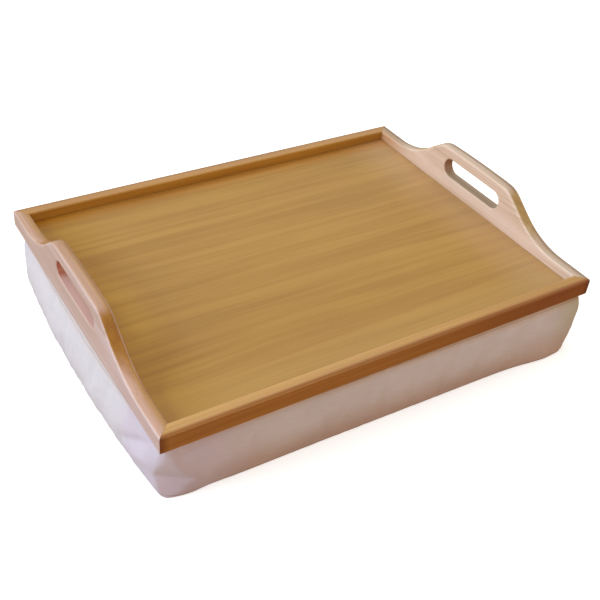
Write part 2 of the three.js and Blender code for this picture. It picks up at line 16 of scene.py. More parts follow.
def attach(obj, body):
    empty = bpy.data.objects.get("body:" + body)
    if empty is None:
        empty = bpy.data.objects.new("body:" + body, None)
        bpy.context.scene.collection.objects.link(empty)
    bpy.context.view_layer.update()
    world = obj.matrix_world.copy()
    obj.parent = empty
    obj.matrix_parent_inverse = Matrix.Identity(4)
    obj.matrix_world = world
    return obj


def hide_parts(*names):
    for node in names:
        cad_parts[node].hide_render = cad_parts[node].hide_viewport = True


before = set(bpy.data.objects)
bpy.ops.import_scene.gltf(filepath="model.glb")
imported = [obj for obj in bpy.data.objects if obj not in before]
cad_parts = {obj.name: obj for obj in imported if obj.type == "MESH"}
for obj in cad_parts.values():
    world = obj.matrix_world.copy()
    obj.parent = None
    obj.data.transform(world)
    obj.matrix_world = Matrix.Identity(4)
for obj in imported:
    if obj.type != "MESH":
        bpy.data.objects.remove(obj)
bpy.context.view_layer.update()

MM = 0.001

# Tray frame
TRAY_LENGTH = 430
TRAY_WIDTH = 326
BOARD = 12
RAIL_HEIGHT = 16.5
OUTER_ROUND = (2.5, 2.8)
INNER_ROUND = (1.8, 3.2)
FOOT_ROUND = 0.8
CORNER_ROUND = 1.2
MITRE_LINE = 0.06
TRAY_FOOT = 60.3
PLAIN_END = 20

# Hand hold
HOLD_HEIGHT = 52.8
CROWN_WIDTH = 84
CROWN_RADIUS = 1100
SHOULDER_RADIUS = 28
SHOULDER_ANGLE = math.radians(37)
SWEEP_RADIUS = 87
SLOT_HALF_RUN = 32.5
SLOT_RADIUS = 9.5
SLOT_CENTRE = 31.5
SLOT_ROUND = 1.6

# Groove that holds the deck
GROOVE_DEPTH = 5
GROOVE_FOOT = 3
GROOVE_TOP = 7.04
LIP_ROUND = 0.2

# Cushion: half sizes at the corners, its rolls' depths and heights, and its sides' swells
CUSHION_HEIGHT = 60
HALF_LENGTH = 212.5
HALF_WIDTH = 161
TOP_ROLL = (6, 20)
BASE_ROLL = (2, 8)
END_SWELL = (5, 9)
SIDE_SWELL = (2, 4)
STRAIGHT_HALF = 138
SEAM_HEIGHT = 3
SLIT_HALF = 126
SLIT_HEIGHTS = (25, 35)
STITCH_RUN = 129
STITCH_RISE = 8
STITCH_PITCH = 3.2
BACK_FACE = 165


def quarter(steps):
    """Angles from 0 to a right angle."""
    return [math.pi / 2 * i / steps for i in range(steps + 1)]


def spaced(start, end, steps):
    """Places from just past start up to end."""
    return [start + (end - start) * i / steps for i in range(1, steps + 1)]


def add_points(points, more):
    """Adds to a piece's points; gives the places of the new ones in the list."""
    points += more
    return list(range(len(points) - len(more), len(points)))


def link(name, data):
    """A new object in the scene."""
    made = bpy.data.objects.new(name, data)
    bpy.context.scene.collection.objects.link(made)
    return made


def put(thing, **settings):
    for key, value in settings.items():
        setattr(thing, key, value)
    return thing


def skin(name, points, faces, material, crease=35):
    """A piece from points in millimetres, shaded smooth up to a crease angle."""
    mesh = bpy.data.meshes.new(name)
    mesh.from_pydata([(x * MM, y * MM, z * MM) for x, y, z in points], [], faces)
    form = bmesh.new()
    form.from_mesh(mesh)
    bmesh.ops.remove_doubles(form, verts=form.verts, dist=0.002 * MM)
    bmesh.ops.recalc_face_normals(form, faces=form.faces)
    form.to_mesh(mesh)
    form.free()
    mesh.shade_smooth()
    mesh.set_sharp_from_angle(angle=math.radians(crease))
    mesh.materials.append(material)
    return link(name, mesh)


def even_normals(piece):
    """Lets the large flat faces set the shading next to their rounded edges."""
    put(piece.modifiers.new("even_normals", "WEIGHTED_NORMAL"), weight=90, keep_sharp=True)


def soften(piece, width):
    """Breaks a piece's sharp edges."""
    put(piece.modifiers.new("broken_edges", "BEVEL"), width=width * MM, segments=2,
        limit_method="ANGLE", angle_limit=math.radians(40), harden_normals=True)


def dress(material, *names):
    """Gives CAD nodes their finish."""
    for name in names:
        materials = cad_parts[name].data.materials
        materials.clear()
        materials.append(material)


# Materials


def node_group(name, inputs, outputs):
    """Makes a shader group of a function that takes a bench and its inputs and gives its outputs.

    An input is given as its kind, or as the number that it holds when nothing is fed to it.
    """
    def fill(build):
        group = bpy.data.node_groups.new(name, "ShaderNodeTree")
        for socket, kind in inputs.items():
            number = isinstance(kind, float)
            made = group.interface.new_socket(
                socket, in_out="INPUT", socket_type="NodeSocket" + ("Float" if number else kind))
            if number:
                made.default_value = kind
        for socket, kind in outputs.items():
            group.interface.new_socket(socket, in_out="OUTPUT", socket_type="NodeSocket" + kind)
        bench = Bench(group)
        bench.node("NodeGroupOutput", build(bench, bench.wires("NodeGroupInput")))
        return group
    return fill


def arithmetic(name, turned=False):
    def work(self, other):
        return self.bench.maths(name, *((other, self) if turned else (self, other)))
    return work


class Wire:
    """A node's output, which sums take as if it were a number."""

    def __init__(self, bench, socket):
        self.bench, self.socket = bench, socket

    def __abs__(self):
        return self.bench.maths("ABSOLUTE", self)

    __add__, __radd__ = arithmetic("ADD"), arithmetic("ADD", True)
    __sub__, __rsub__ = arithmetic("SUBTRACT"), arithmetic("SUBTRACT", True)
    __mul__, __rmul__ = arithmetic("MULTIPLY"), arithmetic("MULTIPLY", True)
    __truediv__, __rtruediv__ = arithmetic("DIVIDE"), arithmetic("DIVIDE", True)


class Bench:
    """Lays out and joins the nodes of one tree."""

    def __init__(self, tree):
        self.tree = tree

    def feed(self, socket, value):
        if isinstance(value, Wire):
            self.tree.links.new(value.socket, socket)
        elif value is not None:
            socket.default_value = value

    def node(self, kind, given=(), **settings):
        """A node, fed in the order of its inputs or by their names."""
        made = put(self.tree.nodes.new(kind), **settings)
        made.location = (180 * len(self.tree.nodes), 0)
        for key, value in given.items() if isinstance(given, dict) else enumerate(given):
            self.feed(made.inputs[key], value)
        return made

    def wires(self, kind, given=(), **settings):
        """A node's outputs by their names."""
        return {out.name: Wire(self, out) for out in self.node(kind, given, **settings).outputs}

    def wire(self, output, kind, given=(), **settings):
        return Wire(self, self.node(kind, given, **settings).outputs[output])

    def maths(self, operation, *values):
        return self.wire(0, "ShaderNodeMath", values, operation=operation)

    def vector(self, operation, *values, output=0):
        return self.wire(output, "ShaderNodeVectorMath", values, operation=operation)

    def split(self, vector):
        return self.wires("ShaderNodeSeparateXYZ", [vector]).values()

    def join(self, *parts):
        return self.wire(0, "ShaderNodeCombineXYZ", parts)

    def noise(self, place, scale=1.0, detail=2.0, roughness=0.5):
        return self.wire(0, "ShaderNodeTexNoise", {"Vector": place, "Scale": scale,
                                                   "Detail": detail, "Roughness": roughness})

    def cells(self, place, scale):
        """Distance to the nearest of many scattered middles."""
        return self.wire("Distance", "ShaderNodeTexVoronoi", {"Vector": place, "Scale": scale})

    def between(self, value, low, high, out_low=0.0, out_high=1.0):
        """Eases a value's range over to another, held at both ends."""
        return self.wire(0, "ShaderNodeMapRange", (value, low, high, out_low, out_high),
                         interpolation_type="SMOOTHSTEP")

    def below(self, value, low, high):
        return self.between(value, low, high, 1.0, 0.0)

    def blend(self, share, first, second, mode="MIX"):
        return self.wire(2, "ShaderNodeMix", {0: share, 6: first, 7: second},
                         data_type="RGBA", blend_type=mode)

    def tint(self, base, tone, share=1.0):
        """Multiplies a colour by a tone, by a share."""
        return self.blend(share, base, tone, "MULTIPLY")

    def group(self, tree, **values):
        given = {key.replace("_", " "): value for key, value in values.items()}
        return self.wires("ShaderNodeGroup", given, node_tree=tree)

    def bump(self, height, distance, strength, normal=None):
        return self.wire(0, "ShaderNodeBump", {"Height": height, "Distance": distance * MM,
                                               "Strength": strength, "Normal": normal})

    def on_object(self):
        """The surface point in millimetres, in the piece's own directions."""
        return self.vector("MULTIPLY", self.wires("ShaderNodeTexCoord")["Object"], (1000.0,) * 3)

    def on_cloth(self):
        """The surface point in millimetres along the cloth."""
        return self.vector("MULTIPLY", self.wire(0, "ShaderNodeUVMap", uv_map="cloth"), (1000.0,) * 3)


class Finish(Bench):
    """The bench of one new material."""

    def __init__(self, name):
        self.material = bpy.data.materials.new(name)
        self.material.use_nodes = True
        super().__init__(self.material.node_tree)
        self.shader = self.tree.nodes["Principled BSDF"].inputs

    def paint(self, tone, roughness, normal, **constants):
        """Feeds the shader, sets its other sockets' values and gives the material."""
        self.feed(self.shader["Base Color"], tone)
        self.feed(self.shader["Roughness"], roughness)
        self.feed(self.shader["Normal"], normal)
        for key, value in constants.items():
            self.shader[key.replace("_", " ")].default_value = value
        return self.material


def colour(red, green, blue):
    """A colour as it is seen on a screen, 0 to 255, as the renderer's own values."""
    def plain(value):
        share = value / 255
        return share / 12.92 if share <= 0.04045 else ((share + 0.055) / 1.055) ** 2.4
    return (plain(red), plain(green), plain(blue), 1.0)


@node_group(
    "straight_grain",
    {"Place": "Vector", "Pale": "Color", "Deep": "Color", "Streak width": 9.0,
     "Streak length": 260.0, "Streaks": 0.6, "Lines": 0.4, "Pores": 0.4},
    {"Colour": "Color", "Height": "Float"})
def grain(bench, given):
    """Straight-grained wood: soft growth streaks, finer lines and short dark pores."""
    along, across, depth = bench.split(given["Place"])
    wander = bench.noise(bench.join(along * 0.004, across * 0.012, depth * 0.012), detail=1.0)
    side = across + (wander - 0.5) * 12.0

    def stretched(width, length, detail, roughness):
        place = bench.join(along / length, side / width, depth / width)
        return bench.noise(place, 1.0, detail, roughness)

    width, length = given["Streak width"], given["Streak length"]
    streaks = bench.between(stretched(width, length, 2.0, 0.5), 0.3, 0.7) * given["Streaks"]
    fine = stretched(width * 0.17, length * 0.5, 3.0, 0.6)
    lines = bench.between(fine, 0.35, 0.68) * given["Lines"]
    pores = bench.between(stretched(0.35, 7.0, 1.0, 0.5), 0.60, 0.74) * given["Pores"]
    held = bench.maths("MINIMUM", streaks + lines + pores, 1.0)
    return bench.blend(held, given["Pale"], given["Deep"]), 1.0 - (pores + lines * 0.3)


@node_group("handling", {"Place": "Vector", "Patch": 60.0, "Amount": 0.1, "Roughness": 0.5},
            {"Tint": "Float", "Roughness": "Float"})
def handling(bench, given):
    """Broad uneven sheen and tint, as from hands, rubbing and washing."""
    patch = bench.noise(given["Place"], 1.0 / given["Patch"], 3.0, 0.55)
    swing = (patch - 0.5) * given["Amount"]
    return 1.0 + swing, given["Roughness"] + swing * 0.8


@node_group("plain_weave", {"Place": "Vector", "Pitch": 0.7}, {"Height": "Float", "Gap": "Float"})
def weave(bench, given):
    """Plain weave seen from above: threads along U and V, over and under in turn."""
    eased = (bench.noise(given["Place"], 0.11, 1.0) - 0.5) * 1.2
    u, v, _ = bench.split(given["Place"])
    turn = math.pi / given["Pitch"]
    warp, weft = (u + eased) * turn, (v + eased) * turn
    ribs, bars = abs(bench.maths("SINE", warp)), abs(bench.maths("SINE", weft))
    over = bench.maths("COSINE", warp) * bench.maths("COSINE", weft)
    gap = bench.below(bench.maths("MINIMUM", ribs, bars), 0.0, 0.45)
    return (ribs + bars) * 0.5 + over * 0.25, gap


@node_group(
    "needle_holes", {"Place": "Vector", "Half run": 130.0, "Half height": 8.0, "Pitch": 3.2},
    {"Hole": "Float"})
def needle_holes(bench, given):
    """Pulled-in holes between stitches round a rectangle, where Place runs from its middle."""
    x, _, z = bench.split(given["Place"])
    away = abs(bench.maths("MAXIMUM", abs(x) - given["Half run"], abs(z) - given["Half height"]))
    beat = bench.maths("COSINE", (x + z) * (2 * math.pi / given["Pitch"]))
    return [bench.below(away, 0.3, 1.0) * bench.below(beat, -0.9, -0.4)]


DEEPER = (0.72, 0.62, 0.48, 1)
# Painted shade on a board's face near its mitres
TIP_SHADE = (0.5, 0.36, 0.28, 1)


def frame_wood(name, band, reach, **tones):
    """Lacquered board wood, painted with light and shade for its place in the frame.

    The top goes from a painted tone by the outer face to one by the inner, as its rounded edges
    turn to the light and away. The wide faces and the slot's sill and end walls have tones of
    painted light and shade of their own; the end grain of steep edges is darker, partly its own
    tone and partly painted shade. Towards one end of the board, over the given reach, these drift
    to a tint of painted light and shade. Where tips are given, the face takes a painted shade
    between them, out to the mitres.
    """
    bench = Finish(name)
    place = bench.on_object()
    normal = bench.wires("ShaderNodeTexCoord")["Normal"]
    across, facing, _ = (abs(part) for part in bench.split(normal))
    x, depth, z = bench.split(place)
    # Painted light and shade across the top, from its outer rounded edge to its inner
    on_edge = bench.blend(bench.between(depth, *band), tones["outer"], tones["inner"])
    # End grain of steep edges: darker, partly its own tone and partly painted shade
    on_edge = bench.blend(bench.between(across, 0.25, 0.6), on_edge, tones["end"])
    # Painted light and shade on the slot's sill and end walls
    if "sill" in tones:
        in_slot = (bench.maths("COMPARE", x, 0.0, SLOT_HALF_RUN + SLOT_RADIUS + 2.5)
                   * bench.maths("COMPARE", z, SLOT_CENTRE, SLOT_RADIUS + 1.5))
        slot = bench.blend(bench.between(across, 0.2, 0.9), tones["sill"], tones["slot_end"])
        on_edge = bench.blend(in_slot, on_edge, slot)
    # Painted light and shade drifting along the board towards one end
    far = bench.between(x, *reach)
    on_edge = bench.tint(on_edge, tones["far_top"], far)
    on_face = bench.tint(tones["face"], tones["far_face"], far)
    # Painted shade on the face near the mitres
    if "tips" in tones:
        on_face = bench.tint(on_face, TIP_SHADE, bench.between(abs(x), *tones["tips"]))
    # Faces and tops take separate tones of painted light and shade by the way they face
    pale = bench.blend(bench.between(facing, 0.4, 0.8), on_edge, on_face)
    wood = bench.group(grain, Place=place, Pale=pale, Deep=bench.tint(pale, DEEPER),
                       Streak_width=4.5, Streak_length=220.0, Streaks=0.55, Lines=0.3, Pores=0.3)
    hands = bench.group(handling, Place=place, Patch=45.0, Amount=0.14, Roughness=0.42)
    return bench.paint(bench.tint(wood["Colour"], hands["Tint"]), hands["Roughness"],
                       bench.bump(wood["Height"], 0.05, 0.5), Specular_IOR_Level=0.35,
                       Coat_Weight=0.12, Coat_Roughness=0.25)


def deck_veneer():
    """Veneer of one wood, with painted shade by the back rail and the left board, a painted reflection
    of the right board and painted bounced light by the front rail.
    """
    bench = Finish("lacquered_deck_veneer")
    place = bench.on_object()
    wood = bench.group(grain, Place=place, Pale=colour(181, 142, 74), Deep=colour(148, 104, 44),
                       Streak_width=9.0, Streak_length=240.0, Streaks=0.42, Lines=0.18, Pores=0.14)
    hands = bench.group(handling, Place=place, Patch=90.0, Amount=0.14, Roughness=0.4)
    x, y, _ = bench.split(place)
    end, side = TRAY_LENGTH / 2 - BOARD, TRAY_WIDTH / 2 - BOARD
    # Painted shade a little darker towards the back rail
    tone = bench.tint(wood["Colour"], hands["Tint"] * bench.between(side - y, 20.0, 60.0, 0.95, 1.0))
    # Painted shadow of the left board, darker and yellower next to it
    tone = bench.tint(tone, (0.95, 0.88, 0.4, 1), bench.below(x + end, 8.0, 70.0))
    # Painted reflection of the right board, paler next to it
    tone = bench.blend(bench.between(end - x, 0.0, 70.0, 0.36, 0.0), tone, colour(198, 166, 140))
    # Painted light bounced off the front rail, paler next to it
    tone = bench.blend(bench.between(y + side, 0.0, 70.0, 0.25, 0.0), tone, colour(198, 162, 108))
    # Painted warm shade right under the back rail
    tone = bench.tint(tone, (1.0, 0.82, 0.65, 1), bench.below(side - y, 4.0, 22.0))
    return bench.paint(tone, hands["Roughness"], bench.bump(wood["Height"], 0.04, 0.5),
                       Specular_IOR_Level=0.2)


def cover_cloth():
    """Slubbed cotton, with painted shade on its seams, needle holes, front corners, lower front and
    under the tray.
    """
    bench = Finish("cotton_cover")
    place, spot = bench.on_cloth(), bench.on_object()
    threads = bench.group(weave, Place=place, Pitch=0.75)
    hands = bench.group(handling, Place=spot, Patch=50.0, Amount=0.10, Roughness=0.9)
    slub = bench.noise(bench.vector("MULTIPLY", place, (0.05, 1.4, 1.0)))
    seam = bench.wires("ShaderNodeAttribute", attribute_name="seam")["Fac"]
    # Painted shade along the seams
    tone = (hands["Tint"] * bench.between(slub, 0.3, 0.7, 0.96, 1.03)
            * (1.0 - threads["Gap"] * 0.16) * bench.between(seam, 0.2, 1.0, 1.0, 0.72))
    x, y, z = bench.split(spot)
    front = bench.below(y, -164.0, -140.0)
    # Painted warm shade low on the front wall, away from the left corner
    scratches_and_low_front_shade = bench.below(z, 2.0, 38.0) * front * bench.between(x, -190.0, -135.0)
    cloth = bench.blend(scratches_and_low_front_shade, colour(211, 204, 214), colour(197, 172, 167))
    # Painted cool shade of a fold on the left wall near the front corner
    left_corner_shade = bench.below(y, -118.0, -85.0) * bench.below(x, -180.0, -120.0)
    cloth = bench.tint(cloth, (0.96, 0.91, 1.0, 1), left_corner_shade)
    # Painted shade at the right end of the front wall, where it turns from the light
    right_end = bench.between(x, 165.0, 208.0) * front * bench.between(z, 8.0, 40.0, 0.3, 1.0)
    cloth = bench.tint(cloth, (0.82, 0.83, 0.66, 1), right_end)
    # Painted shade and warm light reflected off the wood, just under the tray
    shade_under_tray = bench.between(z, 51.0, 59.0) * bench.between(front, 0.0, 1.0, 0.4, 1.0)
    cloth = bench.tint(cloth, (0.96, 0.78, 0.6, 1), shade_under_tray)
    # Painted shade on the tucked front left corner, below its ridge
    tucked = (bench.below(x, -198.0, -170.0) * bench.below(y, -155.0, -136.0)
              * bench.below(z, 14.0, 32.0))
    cloth = bench.blend(tucked, cloth, colour(194, 176, 190))
    from_slit = bench.vector("SUBTRACT", spot, (0.0, 0.0, sum(SLIT_HEIGHTS) / 2))
    holes = bench.group(needle_holes, Place=from_slit, Half_run=STITCH_RUN, Half_height=STITCH_RISE,
                        Pitch=STITCH_PITCH)["Hole"] * bench.between(y, 120.0, 140.0)
    # Painted shade in the pulled-in needle holes
    tone = tone * bench.between(holes, 0.0, 1.0, 1.0, 0.6)
    woven = bench.bump(threads["Height"], 0.12, 0.6)
    return bench.paint(bench.tint(cloth, tone), hands["Roughness"],
                       bench.bump(1.0 - holes, 0.3, 0.6, woven), Sheen_Weight=0.25,
                       Sheen_Roughness=0.5, Specular_IOR_Level=0.3)


def sewing_thread():
    """Twisted thread, its ply showing as slanting ribs."""
    bench = Finish("sewing_thread")
    place = bench.on_object()
    x, _, z = bench.split(place)
    ply = abs(bench.maths("SINE", (x + z * 0.6) * 9.0))
    patch = bench.noise(place, 0.12)
    tone = bench.between(ply, 0.0, 0.8, 0.8, 1.0) * bench.between(patch, 0.3, 0.7, 0.94, 1.03)
    return bench.paint(bench.tint(colour(226, 220, 222), tone),
                       bench.between(ply, 0.0, 1.0, 0.75, 0.6), bench.bump(ply, 0.06, 0.6))


def bag_cloth():
    bench = Finish("thin_inner_cloth")
    threads = bench.group(weave, Place=bench.on_cloth(), Pitch=0.45)
    hands = bench.group(handling, Place=bench.on_object(), Patch=40.0, Amount=0.08, Roughness=0.92)
    tone = hands["Tint"] * (1.0 - threads["Gap"] * 0.12)
    return bench.paint(bench.tint(colour(228, 224, 214), tone), hands["Roughness"],
                       bench.bump(threads["Height"], 0.08, 0.6))


def bead_foam():
    """Small white foam beads packed side by side, with painted shade in the gaps between them."""
    bench = Finish("foam_beads")
    dome = bench.below(bench.cells(bench.on_object(), 0.28), 0.1, 0.75)
    # Painted shade in the gaps between the beads
    tone = bench.between(dome, 0.0, 0.6, 0.55, 1.0)
    return bench.paint(bench.tint(colour(242, 241, 236), tone),
                       bench.between(dome, 0.0, 1.0, 0.85, 0.6), bench.bump(dome, 1.2, 0.8))


def strip_pile(name, pale, deep, stiff):
    """Hook or loop pile on a woven strip, with a plain woven edge."""
    bench = Finish(name)
    place = bench.on_object()
    pile = bench.noise(place, 2.4 if stiff else 1.1, 3.0, 0.7)
    tufts = bench.below(bench.cells(place, 0.9 if stiff else 0.5), 0.05, 0.6)
    height = tufts * 0.6 + pile * 0.6
    tone = bench.between(height, 0.2, 0.9)
    return bench.paint(bench.blend(tone, deep, pale), bench.between(tone, 0.0, 1.0, 0.95, 0.8),
                       bench.bump(height, 0.5, 0.7))


def tape_cloth():
    """Woven zip tape with ribs along its length."""
    bench = Finish("woven_zip_tape")
    place = bench.on_object()
    x, _, z = bench.split(place)
    ribs = abs(bench.maths("SINE", z * (math.pi / 0.6)))
    height = ribs + abs(bench.maths("SINE", x * (math.pi / 0.4))) * 0.4
    patch = bench.noise(place, 0.04)
    tone = bench.between(height, 0.0, 1.2, 0.78, 1.04) * bench.between(patch, 0.3, 0.7, 0.95, 1.04)
    return bench.paint(bench.tint(colour(176, 154, 138), tone),
                       bench.between(height, 0.0, 1.4, 0.95, 0.8), bench.bump(height, 0.15, 0.7))


def moulded_plastic():
    bench = Finish("moulded_zip_teeth")
    place = bench.on_object()
    scuffs = bench.noise(bench.vector("MULTIPLY", place, (0.4, 3.0, 3.0)), 1.0, 4.0, 0.7)
    tone = bench.between(bench.noise(place, 0.25, 3.0), 0.3, 0.7, 0.92, 1.06)
    return bench.paint(bench.tint(colour(150, 128, 112), tone),
                       bench.between(scuffs, 0.35, 0.7, 0.34, 0.52), bench.bump(scuffs, 0.02, 0.5))


def plated_metal(name, base, rough):
    """Plated or drawn metal with fine scratches from rubbing."""
    bench = Finish(name)
    place = bench.on_object()
    scratches_and_low_front_shade = bench.noise(bench.vector("MULTIPLY", place, (0.6, 6.0, 6.0)), 1.0, 4.0, 0.7)
    tone = bench.between(bench.noise(place, 0.3), 0.3, 0.7, 0.88, 1.05)
    return bench.paint(bench.tint(base, tone),
                       bench.between(scratches_and_low_front_shade, 0.3, 0.7, rough - 0.08, rough + 0.12),
                       bench.bump(scratches_and_low_front_shade, 0.02, 0.5), Metallic=1.0)


# One lacquered wood in four copies, each painted with the light and shade on its side of the frame:
# the left hold pale as lit from the left and lighter towards the front, the right hold darker towards
# the back, the front rail darker towards its right end
front_wood = frame_wood(
    "lacquered_front_wood", (1.5, 5.5), (-60, 225), face=colour(172, 118, 54),
    outer=colour(160, 106, 46), inner=colour(203, 160, 96), end=colour(110, 62, 24),
    far_face=(0.66, 0.45, 0.28, 1), far_top=(0.93, 0.9, 0.8, 1), tips=(206, 215))
back_wood = frame_wood(
    "lacquered_back_wood", (1.5, 5.5), (-60, 225), face=colour(184, 134, 54),
    outer=colour(149, 101, 39), inner=colour(188, 142, 80), end=colour(140, 88, 36),
    far_face=(1, 1, 1, 1), far_top=(1, 1, 1, 1))
left_wood = frame_wood(
    "lacquered_left_wood", (4, 11), (0, 120), face=colour(202, 178, 176),
    outer=colour(197, 160, 144), inner=colour(173, 129, 60), end=colour(162, 112, 34),
    far_face=(1.08, 1.1, 1.18, 1), far_top=(1.1, 1.12, 1.2, 1), sill=colour(216, 179, 178),
    slot_end=colour(198, 130, 112))
right_wood = frame_wood(
    "lacquered_right_wood", (2, 7.5), (95, 145), face=colour(224, 198, 187),
    outer=colour(149, 122, 98), inner=colour(210, 192, 180), end=colour(181, 151, 98),
    far_face=(0.84, 0.66, 0.47, 1), far_top=(0.81, 0.71, 0.57, 1), sill=colour(175, 152, 127),
    slot_end=colour(169, 134, 112))
cotton = cover_cloth()
calico = bag_cloth()
thread = sewing_thread()
foam = bead_foam()
hook_pile = strip_pile("hook_pile", colour(128, 114, 102), colour(70, 60, 52), True)
loop_pile = strip_pile("loop_pile", colour(140, 124, 112), colour(84, 72, 63), False)
plating = plated_metal("plated_zip_metal", colour(196, 192, 186), 0.3)
steel = plated_metal("bright_nail_steel", colour(192, 192, 190), 0.34)


# Boards


def hold_shape():
    """Centres and turns of one half of the hand hold's edge."""
    turn = math.asin(CROWN_WIDTH / 2 / CROWN_RADIUS)
    crown = (0.0, HOLD_HEIGHT - CROWN_RADIUS)
    reach = CROWN_RADIUS - SHOULDER_RADIUS
    shoulder = (reach * math.sin(turn), crown[1] + reach * math.cos(turn))
    top = (shoulder[0] + SHOULDER_RADIUS * math.sin(SHOULDER_ANGLE),
           shoulder[1] + SHOULDER_RADIUS * math.cos(SHOULDER_ANGLE))
    foot_z = RAIL_HEIGHT + SWEEP_RADIUS * (1 - math.cos(SHOULDER_ANGLE))
    foot_s = top[0] + (top[1] - foot_z) / math.tan(SHOULDER_ANGLE)
    sweep = (foot_s + SWEEP_RADIUS * math.sin(SHOULDER_ANGLE), RAIL_HEIGHT + SWEEP_RADIUS)
    return turn, crown, shoulder, sweep


def slope_ends(shoulder_rounding, sweep_rounding):
    """Where the straight slope between the shoulder and the sweep starts and ends."""
    return (SHOULDER[0] + (SHOULDER_RADIUS - shoulder_rounding) * math.sin(SHOULDER_ANGLE),
            SWEEP[0] - (SWEEP_RADIUS + sweep_rounding) * math.sin(SHOULDER_ANGLE))


TURN, CROWN, SHOULDER, SWEEP = hold_shape()
SHOULDER_END, SWEEP_START = slope_ends(OUTER_ROUND[1], OUTER_ROUND[0])


def rail_edge(place, rounds):
    """Height where the rounding starts below the top edge, the way into the wood, the radius."""
    return RAIL_HEIGHT - rounds[0], (0.0, -1.0), rounds[0]


def hold_edge(place, rounds):
    """The same for an end board, whose edge rises over its hand hold."""
    s = abs(place)
    share = min(max((SWEEP[0] - s) / (SWEEP[0] - SHOULDER_END), 0.0), 1.0)
    rounding = rounds[0] + (rounds[1] - rounds[0]) * share
    crown_end = (CROWN_RADIUS - rounding) * math.sin(TURN)
    shoulder_end, sweep_start = slope_ends(rounding, rounding)
    if s >= SWEEP[0]:
        return rail_edge(place, rounds)
    if shoulder_end < s < sweep_start:
        drop = (s - shoulder_end) * math.tan(SHOULDER_ANGLE)
        height = SHOULDER[1] + (SHOULDER_RADIUS - rounding) * math.cos(SHOULDER_ANGLE) - drop
        inward = (-math.sin(SHOULDER_ANGLE), -math.cos(SHOULDER_ANGLE))
    else:
        if s <= crown_end:
            centre, radius, bulge = CROWN, CROWN_RADIUS - rounding, 1
        elif s <= shoulder_end:
            centre, radius, bulge = SHOULDER, SHOULDER_RADIUS - rounding, 1
        else:
            centre, radius, bulge = SWEEP, SWEEP_RADIUS + rounding, -1
        rise = math.sqrt(radius * radius - (s - centre[0]) ** 2)
        height = centre[1] + bulge * rise
        inward = (-bulge * (s - centre[0]) / radius, -rise / radius)
    return height, (math.copysign(inward[0], place * inward[0]), inward[1]), rounding


def slot_columns():
    """Places along a hand hold where its slot is drawn, from its middle to its tip."""
    straight = [SLOT_HALF_RUN * i / 8 for i in range(9)]
    wide = SLOT_RADIUS + SLOT_ROUND
    return straight + [SLOT_HALF_RUN + wide * math.cos(a) for a in reversed(quarter(9)[:-1])]


def hold_places(end):
    half = slot_columns()
    half += spaced(half[-1], SHOULDER_END, 8)
    half += spaced(SHOULDER_END, SWEEP_START, 4)
    half += spaced(SWEEP_START, SWEEP[0], 16)
    half += spaced(SWEEP[0], end, 2)
    return [-place for place in reversed(half[1:])] + half


OUTER_STEPS = 6


def rim_points(place, edge, rounds):
    """Points over one rounded top edge, from its face to the flat of the top."""
    height, inward, rounding = edge(place, rounds)
    rim = []
    for angle in quarter(OUTER_STEPS):
        rise = rounding * math.sin(angle)
        rim.append((place - inward[0] * rise, rounding * (1 - math.cos(angle)),
                    height - inward[1] * rise))
    return rim


def board_section(place, edge):
    """Points round a board at one place: (place, depth from the outer face, height)."""
    foot, lip = FOOT_ROUND, LIP_ROUND
    eased = foot * (1 - math.sqrt(0.5))
    ring = [(place, depth, z) for depth, z in ((foot, 0), (eased, eased), (0, foot))]
    ring += rim_points(place, edge, OUTER_ROUND)
    ring += [(s, BOARD - depth, z) for s, depth, z in reversed(rim_points(place, edge, INNER_ROUND))]
    inside = [(BOARD, GROOVE_TOP + lip), (BOARD - lip, GROOVE_TOP),
              (BOARD - GROOVE_DEPTH, GROOVE_TOP), (BOARD - GROOVE_DEPTH, GROOVE_FOOT),
              (BOARD - lip, GROOVE_FOOT), (BOARD, GROOVE_FOOT - lip),
              (BOARD, foot), (BOARD - eased, eased), (BOARD - foot, 0)]
    return ring + [(place, depth, z) for depth, z in inside]


OUTER_FACE = 2
INNER_FACE = 2 + 2 * (OUTER_STEPS + 1)


def corner_section(section, half, angle):
    """A board's section turned towards its mitre, round the frame's outer corner."""
    turned = []
    for _, depth, z in section:
        if depth < CORNER_ROUND:
            reach = CORNER_ROUND - depth
            place = half - CORNER_ROUND + reach * math.sin(angle)
            depth = CORNER_ROUND - reach * math.cos(angle)
        else:
            place = half - depth - CORNER_ROUND * (math.sqrt(0.5) - math.sin(angle))
        turned.append((place, depth, z))
    return turned


def slot_outline(place, upper, set_out):
    """Point of the slot's outline at one column, set out from the slot's own wall."""
    radius = SLOT_RADIUS + set_out
    past = abs(place) - SLOT_HALF_RUN
    if past <= 0:
        s, rise = place, radius
    else:
        share = min(past / (SLOT_RADIUS + SLOT_ROUND), 1.0)
        s = math.copysign(SLOT_HALF_RUN + radius * share, place)
        rise = radius * math.sqrt(1 - share * share)
    return s, SLOT_CENTRE + (rise if upper else -rise)


def slot_wall(place, upper):
    """Points through the slot at one column, from the outer face to the inner."""
    near = []
    for angle in quarter(4):
        s, z = slot_outline(place, upper, SLOT_ROUND * (1 - math.sin(angle)))
        near.append((s, SLOT_ROUND * (1 - math.cos(angle)), z))
    return near + [(s, BOARD - depth, z) for s, depth, z in reversed(near)]


def add_slot(points, places, first):
    """Adds the slot's points; gives the lower and the upper wall's at each section it meets."""
    wide = SLOT_HALF_RUN + SLOT_RADIUS + SLOT_ROUND + 0.01
    return {first + i: [add_points(points, slot_wall(place, upper)) for upper in (False, True)]
            for i, place in enumerate(places) if abs(place) <= wide}


